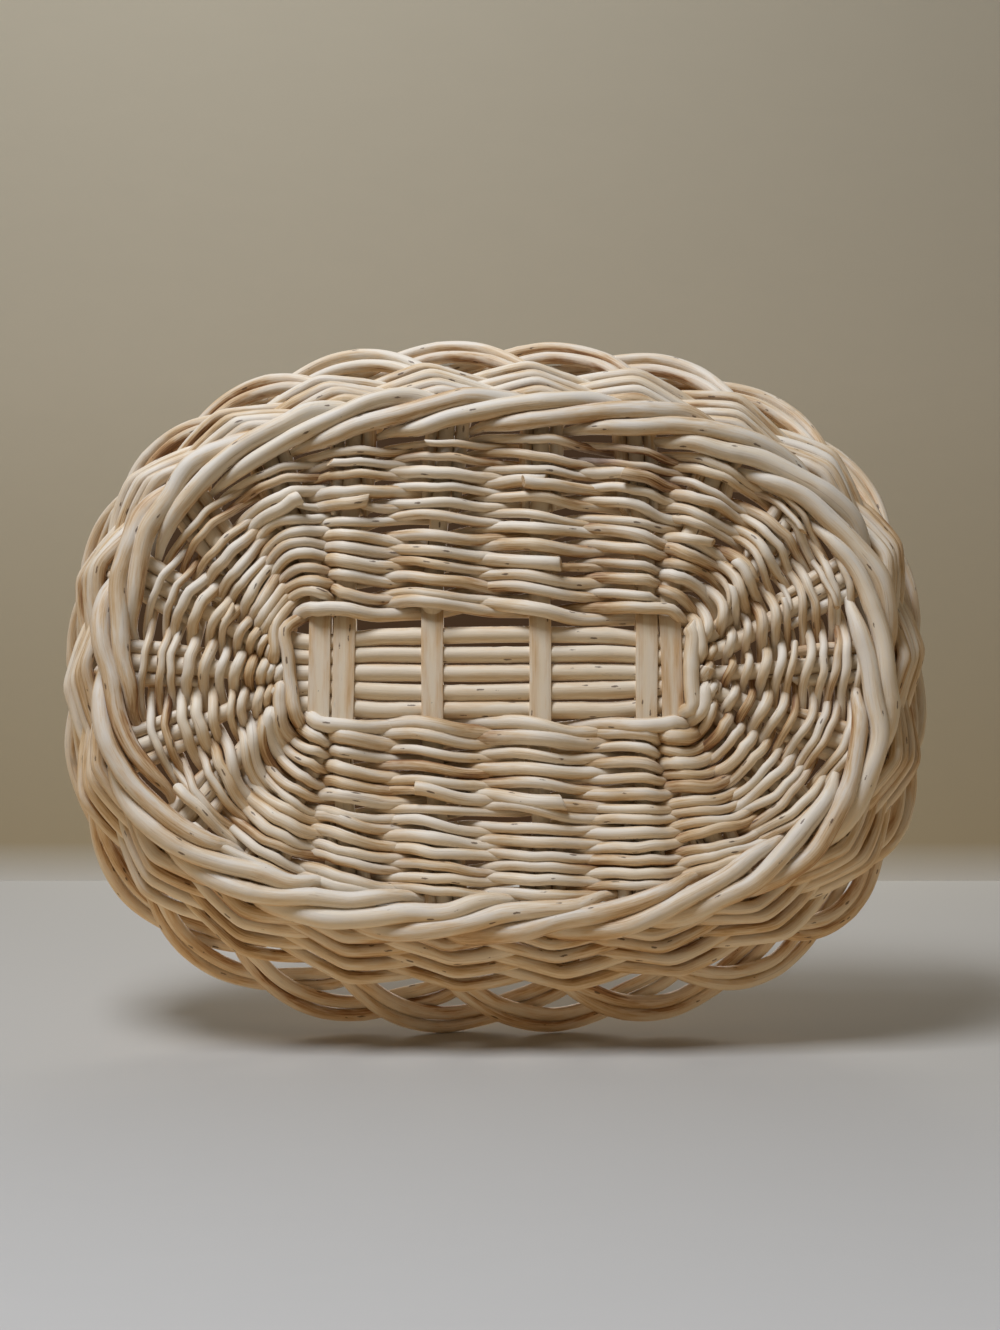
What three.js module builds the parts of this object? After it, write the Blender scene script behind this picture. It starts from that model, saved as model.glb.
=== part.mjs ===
// An oval basket of peeled willow rods with an open scalloped border.
// Millimetres, +Z up. The basket stands on its foot, and the origin lies on the ground under its middle.
// The long sticks are threaded through the split cross sticks, and the base is paired round their ends,
// which are called spokes here. A stake goes in on each side of every spoke. The two stakes of a pair
// come together, rise through the four rounds of the side and fold down into the border.
import * as THREE from "three";

// The rods, as diameters.
const LONG_STICK = 7;
const CROSS_STICK = 8;
const STICK_END = 6.2; // the sticks are shaved thinner towards the edge of the base
const STAKE = 5.4;
const SLATH_WEAVER = 4.2;
const BASE_WEAVER = 3.8;
const FOOT_INNER_WEAVER = 3.8;
const SIDE_WEAVER = 4.8;
const ROD_SIDES = 6; // flats round a rod
const CLEARANCE = 0.3; // between a rod and what it touches

// The slath, which is the cross of sticks in the middle of the base.
const LONG_STICKS = 5;
const LONG_STICK_PITCH = 7.6;
const CROSS_PAIR_AT = 65.45; // from the middle to each of the two pairs of cross sticks
const CROSS_PAIR_PITCH = 9.9; // between the two sticks of a pair
const LEFT_CROSS_STICK_AT = -25; // the two single cross sticks
const RIGHT_CROSS_STICK_AT = 18;
const SLATH_OFFSET = 4.5; // from the middle of the basket towards +Y
const SPLIT_RUN = 3.5; // length over which a cross stick opens round the long sticks
const SLATH_ROUNDS = 2;
const SLATH_ROUND_WIDTH = 4.2;

// The base. From the slath the spokes run straight to the fan line, and then they spread to the edge.
const FAN_PAST_SLATH_AT_ENDS = 2.6;
const FAN_PAST_SLATH_AT_SIDES = 0.8;
const EDGE_HALF_LENGTH = 153;
const EDGE_HALF_WIDTH = 100;
const EDGE_HEIGHT = 10.2; // of the spokes' centre lines over the ground
const CROWN = 4; // how far the slath is raised over the edge

// Places along the spokes, as shares of the way from the fan line to the edge.
const OPENING_ROUND_AT = 0.1; // the round that still holds neighbouring sticks together
const FIRST_BASE_ROUND_AT = 0.26;
const LAST_BASE_ROUND_AT = 0.85;
const STAKES_START_AT = 0.815;
const SPOKES_END_AT = 0.886;
const FOOT_AT = 0.957;
const STAKES_LEAVE_FOOT_AT = 1.012;

const BASE_ROUNDS = 7;
const BASE_ROUND_WIDTH = 4.5;
const FOOT_WIDTH = 6.4;
const FAN_CORNER_BULGE = 8.5; // how far a round at the fan line goes out round a corner of the slath
const EDGE_CORNER_BULGE = 3.2;

// The side wall, as ovals at three levels. Rises are heights over the edge of the base, and the wall
// stands out from that edge more and more, and more so at the sides than at the ends.
const WALL_FOOT_OUT = 4;
const WALL_MIDDLE_RISE = 24.8;
const WALL_MIDDLE_OUT_AT_ENDS = 17;
const WALL_MIDDLE_OUT_AT_SIDES = 26;
const WALL_TOP_RISE = 49.8;
const WALL_TOP_OUT_AT_ENDS = 26.5;
const WALL_TOP_OUT_AT_SIDES = 44.5;
const OVAL_SQUARENESS = 2.5; // the exponent of the oval: 2 is an ellipse
const STAKES_JOIN_RISE = 3; // where the two stakes of a pair come together
const LEAN = 0.17; // how far a pair leans sideways up to the last round, in spaces between pairs
const SIDE_ROUNDS = 4;
const FIRST_SIDE_ROUND_RISE = 6.8;
const SIDE_ROUND_PITCH = 6; // from round to round, in height
const SIDE_ROUND_WIDTH = 5.6;

// The way of a pair from the last round of the side into the border: how far past its own place, in
// spaces between pairs, how high over that round, as a share of the arch, and how far out from the
// wall, as a share of the depth to which the ends are tucked in behind the next pairs.
const ARCH_HEIGHT = 24.4;
const TUCK_DEPTH = 5;
const BORDER_WAY = [
  { past: 0, rise: 0.17, out: 0 },
  { past: 0.17, rise: 0.55, out: 0.44 },
  { past: 0.48, rise: 0.88, out: 0.56 },
  { past: 0.86, rise: 1, out: 0.32 },
  { past: 1.17, rise: 0.93, out: -0.84 },
  { past: 1.5, rise: 0.68, out: -1 },
  { past: 1.74, rise: 0.39, out: -1 },
];

// The eyes in which the rounds hold the spokes and stakes.
const EYE_SHARE = 0.44; // longest half eye, as a share of the space between two uprights
const LONGEST_HALF_EYE = 14;
const FLAT_EYE_RUN = 9; // length over which a strand comes down beside a flat-topped eye
const FLAT_EYE_SHARE = 0.93; // of the room beside the uprights, where there is less than that
const CROSSING_SHARE = 0.7; // half the height of a crossing, in thicknesses of its weaver

const COLOURS = {
  stick: "#d9c9ad",
  baseWeave: "#cbb48f",
  foot: "#dccdb2",
  side: "#d2bd98",
  stake: "#d6c4a4",
};

const UP = new THREE.Vector3(0, 0, 1);
const DOWN = new THREE.Vector3(0, 0, -1);

// A closed surface that is gathered face by face, each seen anticlockwise from outside.
class Skin {
  constructor() {
    this.corners = [];
  }

  triangle(a, b, c) {
    this.corners.push(a, b, c);
  }

  quad(a, b, c, d) {
    this.triangle(a, b, c);
    this.triangle(a, c, d);
  }

  // The wall between two outlines, from one end of a rod towards the other.
  band(from, to) {
    from.forEach((point, i) => {
      const next = (i + 1) % from.length;
      this.quad(point, from[next], to[next], to[i]);
    });
  }

  cap(outline) {
    for (let i = 1; i + 1 < outline.length; i += 1) {
      this.triangle(outline[0], outline[i], outline[i + 1]);
    }
  }

  geometry() {
    const geometry = new THREE.BufferGeometry().setFromPoints(this.corners);
    geometry.computeVertexNormals();
    return geometry;
  }
}

// An oval seen from above.
class Oval extends THREE.Curve {
  constructor(halfLength, halfWidth) {
    super();
    this.halfLength = halfLength;
    this.halfWidth = halfWidth;
    this.arcLengthDivisions = 440;
  }

  getPoint(share, target = new THREE.Vector3()) {
    const turn = 2 * Math.PI * share;
    const bulge = (value) => Math.sign(value) * Math.abs(value) ** (2 / OVAL_SQUARENESS);
    return target.set(this.halfLength * bulge(Math.cos(turn)), this.halfWidth * bulge(Math.sin(turn)), 0);
  }
}

const crossStickPlaces = [
  -CROSS_PAIR_AT - CROSS_PAIR_PITCH / 2,
  -CROSS_PAIR_AT + CROSS_PAIR_PITCH / 2,
  LEFT_CROSS_STICK_AT,
  RIGHT_CROSS_STICK_AT,
  CROSS_PAIR_AT - CROSS_PAIR_PITCH / 2,
  CROSS_PAIR_AT + CROSS_PAIR_PITCH / 2,
];
const spokeCount = 2 * (LONG_STICKS + crossStickPlaces.length);
const lastSideRoundHeight = EDGE_HEIGHT + FIRST_SIDE_ROUND_RISE + (SIDE_ROUNDS - 1) * SIDE_ROUND_PITCH;

const edgeOval = new Oval(EDGE_HALF_LENGTH, EDGE_HALF_WIDTH);
const wallLevel = (rise, outAtEnds, outAtSides) => ({
  height: EDGE_HEIGHT + rise,
  oval: new Oval(EDGE_HALF_LENGTH + outAtEnds, EDGE_HALF_WIDTH + outAtSides),
});
const wallLevels = [
  wallLevel(0, WALL_FOOT_OUT, WALL_FOOT_OUT),
  wallLevel(WALL_MIDDLE_RISE, WALL_MIDDLE_OUT_AT_ENDS, WALL_MIDDLE_OUT_AT_SIDES),
  wallLevel(WALL_TOP_RISE, WALL_TOP_OUT_AT_ENDS, WALL_TOP_OUT_AT_SIDES),
];

// A point of an oval. Places count the spokes, evenly spread from the +X end towards +Y.
function onOval(oval, place) {
  const share = place / spokeCount;
  return oval.getPointAt(share - Math.floor(share));
}

// A point in the middle of the wall, which runs straight from each level to the next.
function wallPoint(place, height) {
  const found = wallLevels.findIndex((level) => level.height >= height);
  const upper = found < 0 ? wallLevels.length - 1 : Math.max(1, found);
  const low = wallLevels[upper - 1];
  const high = wallLevels[upper];
  const share = (height - low.height) / (high.height - low.height);
  return onOval(low.oval, place).lerp(onOval(high.oval, place), share).setZ(height);
}

// The directions up the wall and out of it.
function wallDirections(place, height) {
  const step = 0.05;
  const along = wallPoint(place + step, height).sub(wallPoint(place - step, height)).normalize();
  const up = wallPoint(place, height + step).sub(wallPoint(place, height));
  up.addScaledVector(along, -up.dot(along)).normalize();
  return { up, out: along.clone().cross(up) };
}

// The place of a pair at a height of the side, where it leans a little.
function leaningPlace(pair, height) {
  return pair - (LEAN * (height - EDGE_HEIGHT)) / (lastSideRoundHeight - EDGE_HEIGHT);
}

const onSlath = (x, y) => new THREE.Vector3(x, SLATH_OFFSET + y, EDGE_HEIGHT + CROWN);

const longStickAcross = (stick) => (stick - (LONG_STICKS - 1) / 2) * LONG_STICK_PITCH;

// The slath's outline, and the fan line past the rounds that tie it.
const slathHalfWidth = longStickAcross(LONG_STICKS - 1) + LONG_STICK / 2 + CLEARANCE + SPLIT_RUN;
const slathHalfLength = Math.max(...crossStickPlaces) + CROSS_STICK / 2;
const slathTie = SLATH_ROUNDS * (CLEARANCE + SLATH_ROUND_WIDTH);
const fanHalfLength = slathHalfLength + slathTie + FAN_PAST_SLATH_AT_ENDS;
const fanHalfWidth = slathHalfWidth + slathTie + FAN_PAST_SLATH_AT_SIDES;

// The spokes: where each crosses the fan line, and where it would meet the edge.
const longStickEnds = [];
const crossStickEnds = [];
const spokes = [];
for (let i = 0; i < LONG_STICKS; i += 1) {
  const place = i - (LONG_STICKS - 1) / 2;
  const right = (place + spokeCount) % spokeCount;
  const left = spokeCount / 2 - place;
  longStickEnds.push([left, right]);
  spokes[right] = { fan: onSlath(fanHalfLength, longStickAcross(i)), diameter: LONG_STICK };
  spokes[left] = { fan: onSlath(-fanHalfLength, longStickAcross(i)), diameter: LONG_STICK };
}
crossStickPlaces.forEach((x, i) => {
  const far = (LONG_STICKS + 1) / 2 + crossStickPlaces.length - 1 - i;
  const near = spokeCount - far;
  crossStickEnds.push([near, far]);
  spokes[far] = { fan: onSlath(x, fanHalfWidth), diameter: CROSS_STICK };
  spokes[near] = { fan: onSlath(x, -fanHalfWidth), diameter: CROSS_STICK };
});
spokes.forEach((spoke, place) => {
  spoke.edge = onOval(edgeOval, place).setZ(EDGE_HEIGHT);
});

const isEnd = (place) => spokes[place].diameter === LONG_STICK;

const onSpoke = (place, share) => spokes[place].fan.clone().lerp(spokes[place].edge, share);

const spokeDirection = (place) => spokes[place].edge.clone().sub(spokes[place].fan).normalize();

// Inside the fan line the sticks run straight along or across the basket.
function slathDirection(place) {
  const { x, y } = spokes[place].fan;
  return isEnd(place) ? new THREE.Vector3(Math.sign(x), 0, 0) : new THREE.Vector3(0, Math.sign(y), 0);
}

const spokeDiameter = (place, share) => THREE.MathUtils.lerp(spokes[place].diameter, STICK_END, share);

const basket = new THREE.Group();

function addNode(name, geometry, colour) {
  const material = new THREE.MeshStandardMaterial({ color: colour, roughness: 0.62, metalness: 0 });
  const mesh = new THREE.Mesh(geometry, material);
  mesh.name = name;
  basket.add(mesh);
}

// What an upright takes of the round that holds it. The spread is from the middle to the outermost
// rod, and the skew is the angle between the upright and the way straight through the round.
function eyeRoom({ spread, diameter, skew, width }) {
  const radius = diameter / 2 + CLEARANCE;
  return { radius, reach: radius / Math.cos(skew), sideways: spread + (width / 2) * Math.tan(skew) };
}

// An eye whose strands meet over the upright in a point.
function pointedEye(upright, space) {
  const { radius, reach, sideways } = eyeRoom(upright);
  const half = Math.min(EYE_SHARE * space, LONGEST_HALF_EYE);
  const lift = (radius * half) / Math.sqrt((half - sideways) ** 2 - reach ** 2);
  return { flat: 0, half, lift };
}

// An eye whose strands run level over all of the upright and then come down.
function flatEye(upright, space) {
  const { radius, reach, sideways } = eyeRoom(upright);
  const run = Math.min(FLAT_EYE_RUN, FLAT_EYE_SHARE * (space / 2 - sideways));
  const lift = (radius * run) / Math.sqrt(run ** 2 - reach ** 2);
  return { flat: sideways, half: sideways + run, lift };
}

// One woven round: two strands that part round each upright and cross between two uprights.
// A post is where it holds an upright, and a crossing lies between two posts. Each has its point,
// the direction in which the strands part there, and the direction of the round's width.
function wovenRound(posts, crossings, width) {
  const skin = new Skin();
  posts.forEach((post, i) => {
    const before = crossings[(i + crossings.length - 1) % crossings.length];
    const after = crossings[i];
    const toBefore = post.at.distanceTo(before.at);
    const toAfter = post.at.distanceTo(after.at);

    // A point beside the post: x runs along the round, and y is the way the strands part. The eye goes
    // straight through the round in the post's own direction.
    const place = ({ x, y }, side) => {
      const other = x < 0 ? before : after;
      const share = x < 0 ? -x / toBefore : x / toAfter;
      const { part, across } = share < 1 ? post : other;
      const point = post.at.clone().lerp(other.at, share).addScaledVector(part, y);
      return point.addScaledVector(across, (side * width) / 2);
    };

    const { flat, half, lift } = post.eye;
    const level = (y) => (flat > 0 ? [-flat, flat] : [0]).map((x) => new THREE.Vector2(x, y));
    const lower = [
      new THREE.Vector2(-toBefore, -before.thick),
      ...level(-lift - post.under),
      new THREE.Vector2(toAfter, -after.thick),
    ];
    const upper = [
      new THREE.Vector2(toAfter, after.thick),
      ...level(lift + post.over).reverse(),
      new THREE.Vector2(-toBefore, before.thick),
    ];
    const eye = [
      new THREE.Vector2(-half, 0),
      ...level(lift),
      new THREE.Vector2(half, 0),
      ...level(-lift).reverse(),
    ];

    const contour = [...lower, ...upper];
    const points = [...contour, ...eye];
    const outer = points.map((point) => place(point, 1));
    const inner = points.map((point) => place(point, -1));
    THREE.ShapeUtils.triangulateShape(contour, [eye]).forEach(([a, b, c]) => {
      skin.triangle(outer[a], outer[b], outer[c]);
      skin.triangle(inner[c], inner[b], inner[a]);
    });
    const wall = (a, b) => skin.quad(outer[a], inner[a], inner[b], outer[b]);
    for (let j = 0; j + 1 < lower.length; j += 1) {
      wall(j, j + 1);
      wall(lower.length + j, lower.length + j + 1);
    }
    eye.forEach((point, j) => {
      wall(contour.length + j, contour.length + ((j + 1) % eye.length));
    });
  });
  return skin.geometry();
}

// The directions of a round in the base, between two of its points.
function flatDirections(from, to) {
  const along = to.clone().sub(from).setZ(0).normalize();
  return { part: UP, across: along.cross(UP) };
}

function skewBetween(direction, across) {
  return Math.acos(Math.min(1, Math.abs(direction.dot(across))));
}

// A round of the base. Each hold is a point of the round with the upright that it holds there, and
// each meeting is the crossing after that hold.
function flatRound({ holds, meetings, width, weaver, shapeEye, under }) {
  const before = (i) => meetings[(i + meetings.length - 1) % meetings.length];
  const crossings = holds.map((hold, i) => ({
    at: meetings[i],
    thick: CROSSING_SHARE * weaver,
    ...flatDirections(hold.at, holds[(i + 1) % holds.length].at),
  }));
  const posts = holds.map((hold, i) => {
    const directions = flatDirections(before(i), meetings[i]);
    const skew = Math.max(...hold.directions.map((direction) => skewBetween(direction, directions.across)));
    const space = 2 * Math.min(hold.at.distanceTo(before(i)), hold.at.distanceTo(meetings[i]));
    const spread = hold.alongRound ? hold.spread : hold.spread / Math.cos(skew);
    const eye = shapeEye({ spread, diameter: hold.diameter, skew, width }, space);
    return { at: hold.at, ...directions, eye, over: weaver, under: under ? under(hold, eye) : weaver };
  });
  return wovenRound(posts, crossings, width);
}

// The spokes that the inner rounds hold as one, which are the sticks that lie close to each other.
function spokeGroups() {
  const groups = [];
  const start = spokeCount - (LONG_STICKS - 1) / 2;
  for (let i = 0; i < spokeCount; i += 1) {
    const place = (start + i) % spokeCount;
    const last = groups.at(-1);
    const previous = last?.at(-1);
    const close = last && spokes[previous].fan.distanceTo(spokes[place].fan) < 2 * CROSS_STICK;
    if (close && isEnd(previous) === isEnd(place)) {
      last.push(place);
    } else {
      groups.push([place]);
    }
  }
  return groups;
}

// Where the strands of a round cross after a spoke. At a corner of the slath they go out round it.
function meetingAfter(place, from, to, share) {
  const meeting = from.clone().lerp(to, 0.5);
  const corner = isEnd(place) !== isEnd((place + 1) % spokeCount);
  const bulge = corner ? THREE.MathUtils.lerp(FAN_CORNER_BULGE, EDGE_CORNER_BULGE, share) : 0;
  return meeting.addScaledVector(flatDirections(from, to).across, bulge);
}

// A round that holds the grouped spokes, where the given function says each spoke passes through it.
function groupedRound(pointOf, share) {
  const groups = spokeGroups();
  const holds = groups.map((places) => {
    const first = pointOf(places[0]);
    const last = pointOf(places.at(-1));
    return {
      at: first.clone().lerp(last, 0.5),
      spread: first.distanceTo(last) / 2,
      alongRound: true,
      diameter: spokeDiameter(places[0], share),
      directions: places.map(share > 0 ? spokeDirection : slathDirection),
      end: isEnd(places[0]),
    };
  });
  const meetings = holds.map((hold, i) => {
    const next = holds[(i + 1) % holds.length];
    const last = groups[i].at(-1);
    if (hold.end !== next.end && share === 0) {
      const [end, side] = hold.end ? [hold, next] : [next, hold];
      return end.at.clone().setY(side.at.y);
    }
    return meetingAfter(last, pointOf(last), pointOf((last + 1) % spokeCount), share);
  });
  return flatRound({
    holds,
    meetings,
    width: SLATH_ROUND_WIDTH,
    weaver: SLATH_WEAVER,
    shapeEye: flatEye,
  });
}

// A round that holds every spoke by itself, with or without the stakes beside it.
function openRound({ share, width, weaver, shapeEye, spread, diameterOf, under }) {
  const holds = spokes.map((spoke, place) => ({
    at: onSpoke(place, share),
    spread,
    diameter: diameterOf(place, share),
    directions: [spokeDirection(place)],
  }));
  const meetings = holds.map((hold, place) =>
    meetingAfter(place, hold.at, holds[(place + 1) % spokeCount].at, share),
  );
  return flatRound({ holds, meetings, width, weaver, shapeEye, under });
}

// The outline of a rod, with a flat towards the first axis. It turns from that axis to the second one,
// and then the rod goes towards whoever sees it turn anticlockwise.
function rodOutline(middle, radius, first, second) {
  return Array.from({ length: ROD_SIDES }, (_, i) => {
    const turn = (2 * Math.PI * (i + 0.5)) / ROD_SIDES;
    const point = middle.clone().addScaledVector(first, radius * Math.cos(turn));
    return point.addScaledVector(second, radius * Math.sin(turn));
  });
}

function sweptRod(outlines) {
  const skin = new Skin();
  skin.cap([...outlines[0]].reverse());
  for (let i = 0; i + 1 < outlines.length; i += 1) {
    skin.band(outlines[i], outlines[i + 1]);
  }
  skin.cap(outlines.at(-1));
  return skin.geometry();
}

// Two rods, or the halves of a split one, which part for some of their length. Each half's outline
// starts and ends on the line that it shares with the other half where they lie together.
function sweptTwins(sections) {
  const skin = new Skin();
  const together = ([first, second]) => [...first, ...second.slice(1, -1)];
  sections[0].halves.forEach((half) => skin.cap([...half].reverse()));
  for (let i = 0; i + 1 < sections.length; i += 1) {
    const from = sections[i];
    const to = sections[i + 1];
    if (from.parted || to.parted) {
      from.halves.forEach((half, j) => skin.band(half, to.halves[j]));
    } else {
      skin.band(together(from.halves), together(to.halves));
    }
  }
  sections.at(-1).halves.forEach((half) => skin.cap(half));
  return skin.geometry();
}

// The long sticks.
for (let i = 0; i < LONG_STICKS; i += 1) {
  const [left, right] = longStickEnds[i];
  const way = [
    { at: onSpoke(left, SPOKES_END_AT), diameter: STICK_END },
    { at: spokes[left].fan, diameter: LONG_STICK },
    { at: spokes[right].fan, diameter: LONG_STICK },
    { at: onSpoke(right, SPOKES_END_AT), diameter: STICK_END },
  ];
  const sideways = new THREE.Vector3(0, 1, 0);
  const outlines = way.map(({ at, diameter }) => rodOutline(at, diameter / 2, sideways, UP));
  addNode(`long_stick_${i + 1}`, sweptRod(outlines), COLOURS.stick);
}

// The upper and the lower half of a cross stick, parted by the given height.
function splitStick(middle, radius, parted) {
  const lift = UP.clone().multiplyScalar(parted / 2);
  const sideways = new THREE.Vector3(-1, 0, 0);
  const half = (sign) =>
    Array.from({ length: ROD_SIDES / 2 + 1 }, (_, i) => {
      const turn = (sign * 2 * Math.PI * i) / ROD_SIDES;
      const point = middle.clone().addScaledVector(sideways, radius * Math.cos(turn));
      return point.addScaledVector(UP, radius * Math.sin(turn)).addScaledVector(lift, sign);
    });
  return { halves: [half(1), half(-1).reverse()], parted: parted > 0 };
}

// The cross sticks, each split in its middle to let the long sticks through.
crossStickPlaces.forEach((x, i) => {
  const [near, far] = crossStickEnds[i];
  const holeEnd = longStickAcross(LONG_STICKS - 1) + LONG_STICK / 2 + CLEARANCE;
  const holeHeight = LONG_STICK + 2 * CLEARANCE;
  const sections = [
    splitStick(onSpoke(near, SPOKES_END_AT), STICK_END / 2, 0),
    splitStick(spokes[near].fan, CROSS_STICK / 2, 0),
    splitStick(onSlath(x, -holeEnd - SPLIT_RUN), CROSS_STICK / 2, 0),
    splitStick(onSlath(x, -holeEnd), CROSS_STICK / 2, holeHeight),
    splitStick(onSlath(x, holeEnd), CROSS_STICK / 2, holeHeight),
    splitStick(onSlath(x, holeEnd + SPLIT_RUN), CROSS_STICK / 2, 0),
    splitStick(spokes[far].fan, CROSS_STICK / 2, 0),
    splitStick(onSpoke(far, SPOKES_END_AT), STICK_END / 2, 0),
  ];
  addNode(`cross_stick_${i + 1}`, sweptTwins(sections), COLOURS.stick);
});

// The first rounds, which tie the slath, lie close against the sticks and each other.
for (let i = 0; i < SLATH_ROUNDS; i += 1) {
  const beside = CLEARANCE + SLATH_ROUND_WIDTH / 2 + i * (SLATH_ROUND_WIDTH + CLEARANCE);
  const pointOf = (place) => {
    const { fan } = spokes[place];
    return isEnd(place)
      ? fan.clone().setX(Math.sign(fan.x) * (slathHalfLength + beside))
      : onSlath(fan.x, Math.sign(fan.y) * (slathHalfWidth + beside));
  };
  addNode(`slath_round_${i + 1}`, groupedRound(pointOf, 0), COLOURS.baseWeave);
}
const openingRound = groupedRound((place) => onSpoke(place, OPENING_ROUND_AT), OPENING_ROUND_AT);
addNode("opening_round", openingRound, COLOURS.baseWeave);

// Half the space between the two stakes of a pair where they lie beside a spoke.
const stakeSpread = STICK_END / 2 + CLEARANCE + STAKE / 2;

// The open rounds. In the first the spokes are still close together, and the last holds stakes too.
for (let i = 0; i < BASE_ROUNDS; i += 1) {
  const last = i === BASE_ROUNDS - 1;
  const share = THREE.MathUtils.lerp(FIRST_BASE_ROUND_AT, LAST_BASE_ROUND_AT, i / (BASE_ROUNDS - 1));
  const round = openRound({
    share,
    width: BASE_ROUND_WIDTH,
    weaver: BASE_WEAVER,
    shapeEye: i === 0 || last ? flatEye : pointedEye,
    spread: last ? stakeSpread : 0,
    diameterOf: spokeDiameter,
  });
  addNode(`base_round_${i + 1}`, round, COLOURS.baseWeave);
}

// The foot is a thick round whose flat undersides lie on the ground.
const foot = openRound({
  share: FOOT_AT,
  width: FOOT_WIDTH,
  weaver: FOOT_INNER_WEAVER,
  shapeEye: flatEye,
  spread: stakeSpread,
  diameterOf: () => STAKE,
  under: (hold, eye) => hold.at.z - eye.lift,
});
addNode("foot_wale", foot, COLOURS.foot);

// The rounds of the side, from the foot up.
for (let i = 0; i < SIDE_ROUNDS; i += 1) {
  const height = EDGE_HEIGHT + FIRST_SIDE_ROUND_RISE + i * SIDE_ROUND_PITCH;
  const ring = (pair) => {
    const place = leaningPlace(pair, height);
    const { up, out } = wallDirections(place, height);
    return { at: wallPoint(place, height), part: out, across: up.negate() };
  };
  const crossings = spokes.map((_, pair) => ({
    ...ring(pair + 0.5),
    thick: CROSSING_SHARE * SIDE_WEAVER,
  }));
  const posts = spokes.map((_, pair) => {
    const post = ring(pair);
    const before = crossings[(pair + spokeCount - 1) % spokeCount];
    const space = 2 * Math.min(post.at.distanceTo(before.at), post.at.distanceTo(crossings[pair].at));
    const rise = wallPoint(leaningPlace(pair, height + 1), height + 1).sub(post.at).normalize();
    const skew = skewBetween(rise, post.across);
    const upright = { spread: STAKE / 2 / Math.cos(skew), diameter: STAKE, skew, width: SIDE_ROUND_WIDTH };
    return { ...post, eye: pointedEye(upright, space), over: SIDE_WEAVER, under: SIDE_WEAVER };
  });
  addNode(`side_round_${i + 1}`, wovenRound(posts, crossings, SIDE_ROUND_WIDTH), COLOURS.side);
}

// The outlines of the two stakes of a pair. They lie side by side in the wall, across the way that
// they go, and each has a flat towards the other.
function stakeSection(middle, direction, out, spread) {
  const sideways = out.clone().cross(direction).normalize();
  const outward = direction.clone().cross(sideways);
  return [1, -1].map((side) => {
    const centre = middle.clone().addScaledVector(sideways, -side * spread);
    const toOther = sideways.clone().multiplyScalar(side);
    return rodOutline(centre, STAKE / 2, toOther, outward.clone().multiplyScalar(side));
  });
}

// A pair of stakes, from the base over the foot and up the side into the border.
const stakesTogether = (STAKE / 2) * Math.cos(Math.PI / ROD_SIDES);
spokes.forEach((_, pair) => {
  const inBase = [STAKES_START_AT, STAKES_LEAVE_FOOT_AT].map((share) => ({
    at: onSpoke(pair, share),
    out: DOWN,
    parted: true,
  }));
  const onWall = (place, height, out) => {
    const directions = wallDirections(place, height);
    const at = wallPoint(place, height).addScaledVector(directions.out, out);
    return { at, out: directions.out, parted: false };
  };
  const inSide = [EDGE_HEIGHT + STAKES_JOIN_RISE, lastSideRoundHeight].map((height) =>
    onWall(leaningPlace(pair, height), height, 0),
  );
  const inBorder = BORDER_WAY.map(({ past, rise, out }) =>
    onWall(pair - LEAN - past, lastSideRoundHeight + rise * ARCH_HEIGHT, out * TUCK_DEPTH),
  );
  const way = [...inBase, ...inSide, ...inBorder];
  const sections = way.map(({ at, out, parted }, i) => {
    const from = way[Math.max(0, i - 1)].at;
    const to = way[Math.min(way.length - 1, i + 1)].at;
    const back = at.clone().sub(from).normalize();
    const on = to.clone().sub(at).normalize();
    const direction = back.add(on).normalize();
    const spread = parted ? stakeSpread : stakesTogether;
    return { halves: stakeSection(at, direction, out, spread), parted };
  });
  const number = String(pair + 1).padStart(2, "0");
  addNode(`stake_pair_${number}`, sweptTwins(sections), COLOURS.stake);
});

export default basket;
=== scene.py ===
"""An oval basket of peeled willow, seen from below as it stands on its rim.

Every rod is a closed, tapering sweep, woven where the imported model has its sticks, rounds and stakes.
Lengths are millimetres until the corners go into a mesh.
"""

import math

import bpy
import numpy as np
from mathutils import Matrix, Vector


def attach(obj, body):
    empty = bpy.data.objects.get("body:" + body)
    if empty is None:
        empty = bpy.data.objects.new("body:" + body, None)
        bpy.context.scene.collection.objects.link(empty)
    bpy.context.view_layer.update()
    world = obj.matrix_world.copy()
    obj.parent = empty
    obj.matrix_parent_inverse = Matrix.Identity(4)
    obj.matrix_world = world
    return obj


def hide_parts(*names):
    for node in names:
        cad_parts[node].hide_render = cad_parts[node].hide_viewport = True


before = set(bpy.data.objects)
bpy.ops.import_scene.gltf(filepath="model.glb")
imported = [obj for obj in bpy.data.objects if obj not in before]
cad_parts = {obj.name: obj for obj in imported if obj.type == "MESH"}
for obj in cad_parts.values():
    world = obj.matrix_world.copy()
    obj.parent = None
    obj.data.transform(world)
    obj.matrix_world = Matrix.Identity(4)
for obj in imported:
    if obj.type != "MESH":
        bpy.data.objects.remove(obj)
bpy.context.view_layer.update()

MM = 0.001
UP = np.array([0.0, 0.0, 1.0])
dice = np.random.default_rng(22)

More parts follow.
